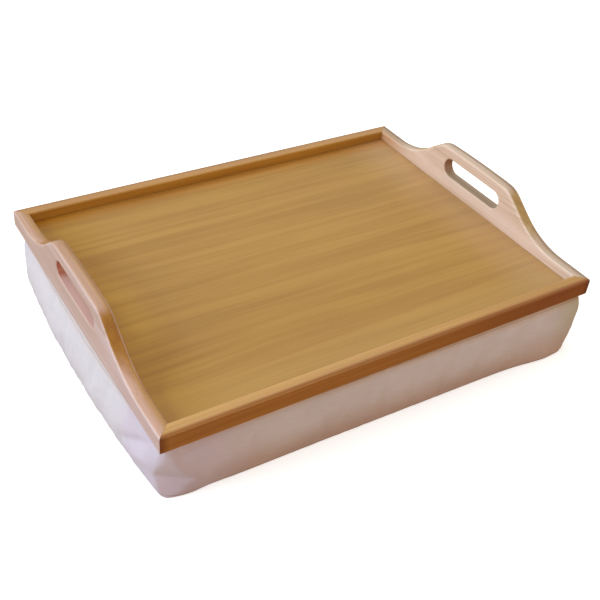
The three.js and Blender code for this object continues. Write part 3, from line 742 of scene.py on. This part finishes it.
def board_faces(sections, count, columns):
    """Faces from section to section, open where the slot runs through the two wide faces."""
    faces = [list(range(count)), list(range(count * (sections - 1), count * sections))]
    for i in range(sections - 1):
        for k in range(count):
            low, high = i * count + k, i * count + (k + 1) % count
            if k not in (OUTER_FACE, INNER_FACE) or not {i, i + 1} & columns.keys():
                faces.append([low, high, high + count, low + count])
                continue
            side = 0
            if k == INNER_FACE:
                low, high, side = high, low, -1
            near = [wall[side] for wall in columns.get(i, ())]
            far = [wall[side] for wall in columns.get(i + 1, ())]
            if near and far:
                faces += [[low, near[0], far[0], low + count], [near[1], high, high + count, far[1]]]
            else:
                faces.append([low, *near[:1], high, high + count, *far[:1], low + count])
    met = sorted(columns)
    for i, j in zip(met, met[1:]):
        for a, b in zip(columns[i], columns[j]):
            faces += [[a[m], a[m + 1], b[m + 1], b[m]] for m in range(len(a) - 1)]
    return faces


def make_board(name, length, edge, places, slotted, material):
    """A frame board in its own directions: X along it, Y into the frame, Z up."""
    plain = board_section(places[-1], rail_edge)
    turned = [corner_section(plain, length / 2 - MITRE_LINE, math.pi / 4 * i / 5) for i in range(6)]
    sections = [[(-s, d, z) for s, d, z in section] for section in reversed(turned)]
    sections += [board_section(place, edge) for place in places] + turned
    points = [point for section in sections for point in section]
    columns = add_slot(points, places, len(turned)) if slotted else {}
    piece = skin(name, points, board_faces(len(sections), len(plain), columns), material)
    even_normals(piece)
    return piece


def place_board(piece, node, turn, reach):
    """Turns a board to its side of the frame, outer face outwards."""
    outward = Vector((math.sin(turn), -math.cos(turn), 0))
    piece.rotation_euler.z = turn
    piece.location = (outward * reach + Vector((0, 0, TRAY_FOOT))) * MM
    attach(piece, "tray")
    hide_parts(node)


def make_frame():
    side, front = TRAY_LENGTH / 2, TRAY_WIDTH / 2
    for name, node, turns, wood in (
            ("front_board", "front_rail", 0, front_wood), ("back_board", "back_rail", 2, back_wood),
            ("right_hold", "right_end_board", 1, right_wood),
            ("left_hold", "left_end_board", -1, left_wood)):
        if turns % 2:
            form = (2 * front, hold_edge, hold_places(front - PLAIN_END), True)
        else:
            end = side - PLAIN_END
            form = (2 * side, rail_edge, [-end] + spaced(-end, end, 24), False)
        board = make_board(name, *form, wood)
        place_board(board, node, turns * math.pi / 2, side if turns % 2 else front)


make_frame()
dress(deck_veneer(), "deck_panel")


# Cushion

RAMP_STEPS = 18
MIDDLE_STEPS = 60
END_STEPS = 64
CORNER_STEPS = 8
HEIGHTS = [0, 1.2, 2.2, 3, 3.8, 6, 9, 12.5, 16, 19, 22, 25, 27.5, 30, 32.5, 35, 38, 41, 44, 47.5,
           51, 54, 56.2, 57, 57.8, 58.9, 60]

# Rounding of the cushion's upright corners at heights up the wall, anticlockwise from the
# front right one
CORNER_HEIGHTS = (0, 6, 15, 27, 42, 60)
CORNER_RADII = ((13, 12.5, 10, 6, 4, 4), (13, 12.5, 10, 6, 4, 4), (10, 13, 17, 19, 19, 12),
                (5, 6, 8, 7, 5, 4))

# Where the cover's points start inside the cushion's outline, and the highest that they end
COVER_INSET = 0.6
COVER_TOP = 59.9

# How far the front wall stands askew to the tray, as a slope from left to right
FRONT_SKEW = 0.0168


def swell_share(place, straight):
    reach = HALF_LENGTH if straight else HALF_WIDTH
    past = max(0.0, abs(place) - straight) / (reach - straight)
    return max(0.0, 1 - past * past)


def roll_at(height):
    """Spread, 0 at the seams and 1 at the widest, and how far the level has rolled in."""
    upper = height > CUSHION_HEIGHT / 2
    depth, reach = TOP_ROLL if upper else BASE_ROLL
    from_seam = CUSHION_HEIGHT - height if upper else height
    fall = max(0.0, reach - from_seam) / reach
    spread = math.sqrt(max(0.0, 1 - fall * fall))
    return spread, depth * (1 - spread)


def side_places(start, end, straight):
    """Places along a side from one rounded corner to the other."""
    if not straight:
        return [start] + spaced(start, end, END_STEPS)
    return ([start] + spaced(start, -SLIT_HALF, RAMP_STEPS)
            + spaced(-SLIT_HALF, SLIT_HALF, MIDDLE_STEPS) + spaced(SLIT_HALF, end, RAMP_STEPS))


def cushion_ring(height, inset):
    """One level of the cushion, anticlockwise from the middle of its front right corner."""
    spread, rolled = roll_at(height)
    radii = [max(float(np.interp(height, CORNER_HEIGHTS, sizes)) - rolled - inset, 1.0)
             for sizes in CORNER_RADII]
    out_x = HALF_LENGTH - rolled - inset
    out_y = HALF_WIDTH - rolled - inset
    end = (out_y, out_x, END_SWELL[0] + (END_SWELL[1] - END_SWELL[0]) * spread, 0.0)
    long_side = (out_x, out_y, SIDE_SWELL[0] + (SIDE_SWELL[1] - SIDE_SWELL[0]) * spread,
                 STRAIGHT_HALF)
    turns = [math.pi / 4 * (1 - i / (CORNER_STEPS // 2)) ** 1.6 for i in range(CORNER_STEPS // 2)]
    ring = []
    for side, (run, out, swell, straight) in enumerate((end, long_side, end, long_side)):
        first, last = radii[side], radii[(side + 1) % 4]
        near, far = ([(out - radius + radius * math.cos(a),
                       way * (run - radius + radius * math.sin(a))) for a in turns]
                     for radius, way in ((first, -1), (last, 1)))
        flat = [(out + swell * swell_share(place, straight), place)
                for place in side_places(first - run, run - last, straight)]
        cos, sin = math.cos(side * math.pi / 2), math.sin(side * math.pi / 2)
        ring += [(x * cos - y * sin, x * sin + y * cos) for x, y in near + flat + far[:0:-1]]
    return ring


ROWS = END_STEPS + CORNER_STEPS
ACROSS = 2 * RAMP_STEPS + MIDDLE_STEPS + CORNER_STEPS


def cap_grid(ring):
    """Fills a level's ring with a grid whose corners are the middles of its rounded corners."""
    loop = [Vector(point) for point in ring]
    right = loop[0:ROWS + 1]
    back = loop[ROWS:ROWS + ACROSS + 1][::-1]
    left = loop[ROWS + ACROSS:2 * ROWS + ACROSS + 1][::-1]
    front = loop[2 * ROWS + ACROSS:] + loop[:1]
    grid = {}
    for i in range(ACROSS + 1):
        for j in range(ROWS + 1):
            u, v = i / ACROSS, j / ROWS
            level = (1 - v) * front[i] + v * back[i] + (1 - u) * left[j] + u * right[j]
            corners = ((1 - u) * (1 - v) * front[0] + u * (1 - v) * front[-1]
                       + (1 - u) * v * back[0] + u * v * back[-1])
            grid[i, j] = level - corners
    return grid


def cap_faces(points, ring):
    """Closes the cushion's top or base over one ring of points."""
    z = points[ring[0]][2]
    grid = cap_grid([points[i][:2] for i in ring])
    index = {}
    for k in range(ROWS + 1):
        index[ACROSS, k] = ring[k]
        index[0, ROWS - k] = ring[(ROWS + ACROSS + k) % len(ring)]
    for k in range(ACROSS + 1):
        index[ACROSS - k, ROWS] = ring[ROWS + k]
        index[k, 0] = ring[(2 * ROWS + ACROSS + k) % len(ring)]
    for place, spot in grid.items():
        if place not in index:
            index[place] = len(points)
            points.append((spot.x, spot.y, z))
    return [[index[i, j], index[i + 1, j], index[i + 1, j + 1], index[i, j + 1]]
            for i in range(ACROSS) for j in range(ROWS)]


def cushion_cage(inset, height_inset, heights, slit):
    """A cushion of four-sided faces, and the index of each wall point by level and place."""
    points, faces, walls = [], [], []
    squeeze = (CUSHION_HEIGHT - 2 * height_inset) / CUSHION_HEIGHT
    for height in heights:
        z = height_inset + height * squeeze
        walls.append(add_points(points, [(x, y, z) for x, y in cushion_ring(height, inset)]))
    count = len(walls[0])
    slit_start = ROWS + CORNER_STEPS // 2 + RAMP_STEPS
    for level, (low, high) in enumerate(zip(walls, walls[1:])):
        in_slit = slit and SLIT_HEIGHTS[0] <= heights[level] < SLIT_HEIGHTS[1]
        for i in range(count):
            if not (in_slit and slit_start <= i < slit_start + MIDDLE_STEPS):
                faces.append([low[i], low[(i + 1) % count], high[(i + 1) % count], high[i]])
    faces += cap_faces(points, walls[0]) + cap_faces(points, walls[-1])
    return points, faces, walls


def near_slit(x, y, z, margin):
    low, high = SLIT_HEIGHTS
    return y > BACK_FACE - 8 and abs(x) < SLIT_HALF + margin and low - margin < z < high + margin


def plump(piece, pressure, slack, frames, most):
    """Fills a cushion by cloth simulation. Its top and base stay flat, and its seams hold."""
    start = [v.co.copy() for v in piece.data.vertices]
    hold = piece.vertex_groups.new(name="held")
    top = CUSHION_HEIGHT - SEAM_HEIGHT
    for vertex in piece.data.vertices:
        x, y, z = vertex.co / MM
        if z < SEAM_HEIGHT + 0.1 or z > top - 0.1 or near_slit(x, y, z, 7):
            hold.add([vertex.index], 1.0, "REPLACE")
    cloth = piece.modifiers.new("filling", "CLOTH")
    put(cloth.settings, quality=5, mass=0.3, tension_stiffness=12, compression_stiffness=12,
        shear_stiffness=4, bending_stiffness=0.6, use_pressure=True,
        uniform_pressure_force=pressure, shrink_min=-slack, vertex_group_mass="held",
        pin_stiffness=1.0)
    cloth.settings.effector_weights.gravity = 0
    cloth.collision_settings.use_collision = False
    scene = bpy.context.scene
    for step in range(1, frames + 1):
        scene.frame_set(step)
    shape = piece.evaluated_get(bpy.context.evaluated_depsgraph_get())
    ended = [v.co.copy() for v in shape.data.vertices]
    piece.modifiers.remove(cloth)
    scene.frame_set(1)
    for vertex, was, now in zip(piece.data.vertices, start, ended):
        move = now - was
        if move.length > most * MM:
            move.length = most * MM
        vertex.co = was + move


def cloth_map(mesh, walls):
    """Lengths along and up the cloth for each wall face, and plan lengths for top and base."""
    ring = walls[len(walls) // 2]
    run, total = {}, 0.0
    for i, index in enumerate(ring):
        run[i] = total
        step = mesh.vertices[ring[(i + 1) % len(ring)]].co - mesh.vertices[index].co
        total += step.length
    place = {}
    for level in walls:
        for i, index in enumerate(level):
            place[index] = (i, mesh.vertices[index].co.z)
    layer = mesh.uv_layers.new(name="cloth")
    count = len(ring)
    for face in mesh.polygons:
        sides = [place.get(v) for v in face.vertices]
        is_wall = all(sides) and len({round(s[1], 6) for s in sides}) > 1
        wraps = is_wall and {0, count - 1} <= {s[0] for s in sides}
        for loop, vertex in zip(face.loop_indices, face.vertices):
            if is_wall:
                i, height = place[vertex]
                along = total if wraps and i == 0 else run[i]
                layer.data[loop].uv = (along, height)
            else:
                layer.data[loop].uv = mesh.vertices[vertex].co.xy


def seam_marks(mesh, walls):
    """Marks the points of the cover's seams: 1 on a seam, 0 away from it."""
    marks = mesh.attributes.new("seam", "FLOAT", "POINT")
    for height in (SEAM_HEIGHT, CUSHION_HEIGHT - SEAM_HEIGHT):
        for index in walls[HEIGHTS.index(height)]:
            marks.data[index].value = 1.0
    for ring in walls[HEIGHTS.index(SEAM_HEIGHT):HEIGHTS.index(CUSHION_HEIGHT - SEAM_HEIGHT)]:
        for corner in (0, ROWS, ROWS + ACROSS, 2 * ROWS + ACROSS):
            marks.data[ring[corner]].value = 0.3


def apply_modifiers(piece):
    """Bakes a piece's modifiers into its mesh."""
    graph = bpy.context.evaluated_depsgraph_get()
    mesh = bpy.data.meshes.new_from_object(piece.evaluated_get(graph), depsgraph=graph,
                                           preserve_all_data_layers=True)
    piece.modifiers.clear()
    piece.data = mesh


class Fold:
    """A soft fold in the cover along a line: a positive depth lifts it, a negative one sinks it."""

    def __init__(self, start, end, width, depth):
        self.start, self.end = Vector(start), Vector(end)
        self.width, self.depth = width, depth

    def lift(self, spot):
        line = self.end - self.start
        share = min(max((spot - self.start).dot(line) / line.length_squared, 0.0), 1.0)
        away = (spot - self.start - line * share).length
        taper = 0.35 + 0.65 * math.sin(math.pi * min(max(share, 0.08), 0.92))
        return self.depth * taper * math.exp(-(away / self.width) ** 2)


# Folds at the front corners, where the two walls' cloth gathers
FOLDS = (
    Fold((-218, -100, 20), (-215, -138, 45), 4.0, -2.0),
    Fold((-218, -112, 12), (-214, -146, 32), 6.0, 1.2),
    Fold((-206, -162, 54), (-197, -163, 28), 4.0, 1.4),
    Fold((-197, -163, 45), (-178, -163, 48), 3.5, -2.0),
    Fold((-184, -162, 14), (-140, -163, 34), 9.0, 0.8),
    Fold((205, -163, 16), (160, -166, 46), 7.0, 1.0),
    Fold((196, -165, 8), (150, -166, 26), 8.0, -0.8),
)

# How the base is pushed out near the front corners: middle, reach along the front, and push
FEET = ((185, 35, -5.6, -5.4), (-196, 16, 6.5, -3.4))
FOOT_LINE = -166
FOOT_DEPTH = 14
FOOT_HEIGHT = 16

# The front left corner is tucked flat below a ridge: how far the flat stands out at heights
TUCK_FACING = Vector((-0.57, -0.82, 0))
TUCK_HEIGHTS = (0, 19, 46, 60)
TUCK_REACH = (246, 239.6, 250.5, 262)
TUCK_EASE = 0.8

# Soft lumps in the walls: how high, and how many to the millimetre
LUMPS = ((1.1, 0.022), (0.45, 0.06))


def settle(spot, inset=0.0):
    """How the filled cover stands: corners tucked or pushed out, its front a little askew."""
    x, y, z = spot
    if y < 0:
        y -= FRONT_SKEW * x * min(-y / HALF_WIDTH, 1.0)
    for foot_x, reach, push_x, push_y in FEET:
        foot = math.exp(-((x - foot_x) / reach) ** 2 - ((y - FOOT_LINE) / FOOT_DEPTH) ** 2
                        - (z / FOOT_HEIGHT) ** 2)
        x, y = x + push_x * foot, y + push_y * foot
    settled = Vector((x, y, z))
    over = settled.dot(TUCK_FACING) - float(np.interp(z, TUCK_HEIGHTS, TUCK_REACH)) + inset
    if over > -5 * TUCK_EASE:
        settled -= TUCK_FACING * math.log(1 + math.exp(over / TUCK_EASE)) * TUCK_EASE
    return settled


def crease_cover(mesh):
    """Adds folds, soft lumps and the seams' puckers to the cover's walls."""
    marks = mesh.attributes["seam"].data
    normals = [v.normal.copy() for v in mesh.vertices]
    for vertex, normal, mark in zip(mesh.vertices, normals, marks):
        spot = vertex.co / MM
        flat = Vector((normal.x, normal.y, 0))
        if flat.length < 0.5 or near_slit(*spot, 8):
            continue
        lift = sum(fold.lift(spot) for fold in FOLDS)
        lift += sum(height * noise.noise(spot * rate) for height, rate in LUMPS)
        to_seam = min(abs(spot.z - SEAM_HEIGHT), abs(CUSHION_HEIGHT - SEAM_HEIGHT - spot.z))
        pucker = noise.noise(Vector((spot.x * 0.16, spot.y * 0.16, spot.z * 0.03)))
        lift += 0.9 * pucker * math.exp(-to_seam / 6) - 0.6 * mark.value
        ease = min(spot.z / 6, (CUSHION_HEIGHT - spot.z) / 6, 1.0)
        vertex.co += flat.normalized() * lift * ease * MM


def turn_hem(mesh):
    """Turns the cover's edges in along the zip's slit."""
    form = bmesh.new()
    form.from_mesh(mesh)
    rim = [edge for edge in form.edges if edge.is_boundary]
    for inward, shut in ((0.25, 0.35), (0.35, 0.1), (0.4, -0.15)):
        made = bmesh.ops.extrude_edge_only(form, edges=rim)["geom"]
        for vertex in (part for part in made if isinstance(part, bmesh.types.BMVert)):
            low, high = SLIT_HEIGHTS
            middle = (low + high) / 2 * MM
            vertex.co.y -= inward * MM
            if abs(vertex.co.z - middle) > 3 * MM:
                vertex.co.z -= math.copysign(shut * MM, vertex.co.z - middle)
            if abs(vertex.co.x) > (SLIT_HALF - 1) * MM:
                vertex.co.x -= math.copysign(shut * MM, vertex.co.x)
        rim = [part for part in made if isinstance(part, bmesh.types.BMEdge)]
    form.to_mesh(mesh)
    form.free()


def make_cover():
    points, faces, walls = cushion_cage(COVER_INSET, 0.0, HEIGHTS, True)
    cover = skin("cushion_cover", points, faces, cotton, 180)
    plump(cover, pressure=4.0, slack=0.006, frames=20, most=3)
    cloth_map(cover.data, walls)
    seam_marks(cover.data, walls)
    put(cover.modifiers.new("finer", "SUBSURF"), levels=1, render_levels=1,
        boundary_smooth="PRESERVE_CORNERS")
    apply_modifiers(cover)
    crease_cover(cover.data)
    for vertex in cover.data.vertices:
        spot = settle(vertex.co / MM)
        spot.z = min(max(spot.z, 0.0), COVER_TOP)
        vertex.co = spot * MM
    turn_hem(cover.data)
    cover.data.shade_smooth()
    return cover


cover = make_cover()
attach(cover, "cushion")
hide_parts("cover_top_panel", "cover_base_panel", "cover_front_wall", "cover_left_wall",
            "cover_right_wall", "cover_back_wall_upper", "cover_back_wall_lower")


def stitch_places():
    """Middles of the stitches round the slit, and whether each lies along its length."""
    middle = sum(SLIT_HEIGHTS) / 2
    for side in (-1, 1):
        for count in range(-45, 46):
            x = count * STITCH_PITCH - side * STITCH_RISE
            if abs(x) < STITCH_RUN - 0.4 * STITCH_PITCH:
                yield x, middle + side * STITCH_RISE, True
            rise = count * STITCH_PITCH - side * STITCH_RUN
            if abs(rise) < STITCH_RISE - 0.4 * STITCH_PITCH:
                yield side * STITCH_RUN, middle + rise, False


def make_stitching(cloth):
    """Topstitching that holds the zip's tapes to the cover, laid on the cloth."""
    surface = BVHTree.FromPolygons([vertex.co for vertex in cloth.data.vertices],
                                   [list(face.vertices) for face in cloth.data.polygons])
    sides, steps, length, thick = 6, 6, STITCH_PITCH * 0.8, 0.28
    points, faces = [], []
    for x, z, level in stitch_places():
        rings = []
        for step in range(steps + 1):
            share = step / steps
            slide = (share - 0.5) * length
            at_x, at_z = (x + slide, z) if level else (x, z + slide)
            met = surface.ray_cast(Vector((at_x, 200, at_z)) * MM, Vector((0, -1, 0)))[0]
            arch = math.sin(math.pi * share)
            lift, girth = 0.3 * arch - 0.12, thick * (0.45 + 0.55 * arch)
            ring = []
            for side in range(sides):
                angle = 2 * math.pi * side / sides
                across, out = girth * math.cos(angle), girth * math.sin(angle)
                ring.append((at_x + (0 if level else across), met.y / MM + lift + out,
                             at_z + (across if level else 0)))
            rings.append(add_points(points, ring))
        faces += [rings[0], rings[-1]]
        faces += [[low[k - 1], low[k], high[k], high[k - 1]]
                  for low, high in zip(rings, rings[1:]) for k in range(sides)]
    stitching = skin("zip_stitching", points, faces, thread, 60)
    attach(stitching, "cushion")


make_stitching(cover)


def make_filling():
    """The bag of beads inside the cover, and the beads inside the bag."""
    for name, node, inset, height_inset, material, slot in (
            ("bead_bag", "inner_bag", 6.0, 1.3, calico, "bag_fabric"),
            ("beads", "bead_filling", 6.8, 2.1, foam, "beads")):
        points, faces, walls = cushion_cage(inset, height_inset, HEIGHTS[::2], False)
        points = [settle(Vector(point), inset) for point in points]
        piece = skin(name, points, faces, material, 180)
        cloth_map(piece.data, walls)
        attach(piece, "cushion")
        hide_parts(node)


make_filling()


for small, width in (("zip_slider", 0.35), ("zip_pull", 0.3), ("zip_bottom_stop", 0.2),
                     ("zip_top_stop_upper", 0.2), ("zip_top_stop_lower", 0.2)):
    soften(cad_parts[small], width)
corners = ("front_left", "front_right", "back_left", "back_right")
dress(steel, *(f"corner_nail_{place}" for place in corners))
dress(hook_pile, *(f"hook_strip_{place}" for place in corners))
dress(loop_pile, *(f"loop_strip_{place}" for place in corners))
dress(tape_cloth(), "zip_tape_upper", "zip_tape_lower")
dress(moulded_plastic(), "zip_teeth_upper", "zip_teeth_lower")
dress(plating, "zip_top_stop_upper", "zip_top_stop_lower", "zip_bottom_stop", "zip_slider", "zip_pull")


# Floor, light, camera

CAMERA_PLACE = (-0.392305, -0.573635, 0.555180)
CAMERA_AZIMUTH = math.radians(-34.854)
CAMERA_ELEVATION = math.radians(38.018)
CAMERA_ROLL = math.radians(5.491)
CAMERA_LENS = 54.595

# The floor's half size and the gap that counts as touching it, in metres; the tones that it
# shows and throws up; and its own light, which rises to full between two distances
FLOOR_REACH = 6.0
FLOOR_TOUCH = 0.003
FLOOR_SEEN = (0.88, 0.94, 1, 1)
FLOOR_THROW = (0.42, 0.27, 0.19, 1)
FLOOR_GLOW = 0.55
FLOOR_FADE = (700.0, 2200.0)


def make_camera():
    camera = link("view", put(bpy.data.cameras.new("view"), lens=CAMERA_LENS, sensor_width=36,
                              clip_start=0.01, clip_end=50))
    cos = math.cos(CAMERA_ELEVATION)
    back = Vector((math.sin(CAMERA_AZIMUTH) * cos, -math.cos(CAMERA_AZIMUTH) * cos,
                   math.sin(CAMERA_ELEVATION)))
    right = Vector((0, 0, 1)).cross(back).normalized()
    up = back.cross(right)
    turned = Matrix((right, up, back)).transposed() @ Matrix.Rotation(CAMERA_ROLL, 3, "Z")
    camera.matrix_world = Matrix.Translation(CAMERA_PLACE) @ turned.to_4x4()
    bpy.context.scene.camera = camera


def make_floor():
    """A pale floor, seen white from above and clear from below.

    It throws warm light up on the object and takes its shadow. Where the object rests on it,
    it lets the room's light on to the underside.
    """
    bench = Finish("pale_floor")
    path = bench.wires("ShaderNodeLightPath")
    seen = path["Is Camera Ray"]
    away = bench.vector("LENGTH", bench.on_object(), output="Value")
    above = 1.0 - bench.wires("ShaderNodeNewGeometry")["Backfacing"]
    for socket, value in (
            ("Emission Color", bench.blend(seen, (0, 0, 0, 1), (1, 1, 1, 1))),
            ("Emission Strength", bench.between(away, *FLOOR_FADE, FLOOR_GLOW, 1.0)),
            ("Alpha", above * bench.maths("GREATER_THAN", path["Ray Length"], FLOOR_TOUCH))):
        bench.feed(bench.shader[socket], value)
    material = bench.paint(bench.blend(seen, FLOOR_THROW, FLOOR_SEEN), 0.9, None,
                           Specular_IOR_Level=0.0)
    mesh = bpy.data.meshes.new("floor")
    mesh.from_pydata([(x * FLOOR_REACH, y * FLOOR_REACH, 0)
                      for x, y in ((-1, -1), (1, -1), (1, 1), (-1, 1))], [], [(0, 1, 2, 3)])
    mesh.materials.append(material)
    link("floor", mesh)


def lamp(name, place, aim, size, power, tint):
    made = link(name, put(bpy.data.lights.new(name, "AREA"), shape="RECTANGLE", size=size[0],
                          size_y=size[1], energy=power, color=tint))
    made.location = place
    made.rotation_euler = (Vector(aim) - Vector(place)).to_track_quat("-Z", "Y").to_euler()


ROOM_TINT = (1.0, 0.875, 0.75, 1)
ROOM_STRENGTH = 0.48


def make_light():
    """A cool window low on the left, a high panel behind, a warm room and a warm lamp in front."""
    lamp("window", (-2.4, 0.5, 1.0), (0, 0, 0.05), (2.0, 1.4), 61, (0.76, 0.93, 1.0))
    lamp("panel", (0.2, 1.3, 2.6), (0, 0, 0.05), (2.8, 2.8), 34, (1.0, 0.95, 0.84))
    lamp("room_lamp", (0.5, -2.4, 0.5), (0, 0, 0.05), (2.0, 0.8), 15.6, (1.0, 0.77, 0.46))
    world = bpy.data.worlds.new("room")
    bpy.context.scene.world = world
    world.use_nodes = True
    bench = Bench(world.node_tree)
    path = bench.wires("ShaderNodeLightPath")
    seen = bench.maths("MAXIMUM", path["Is Camera Ray"],
                       bench.maths("MAXIMUM", path["Is Glossy Ray"], path["Is Transmission Ray"]))
    ground = world.node_tree.nodes["Background"].inputs
    bench.feed(ground["Color"], bench.blend(seen, ROOM_TINT, (1, 1, 1, 1)))
    bench.feed(ground["Strength"], bench.between(seen, 0.0, 1.0, ROOM_STRENGTH, 1.0))
    bpy.context.scene.view_settings.view_transform = "Standard"


make_camera()
make_floor()
make_light()
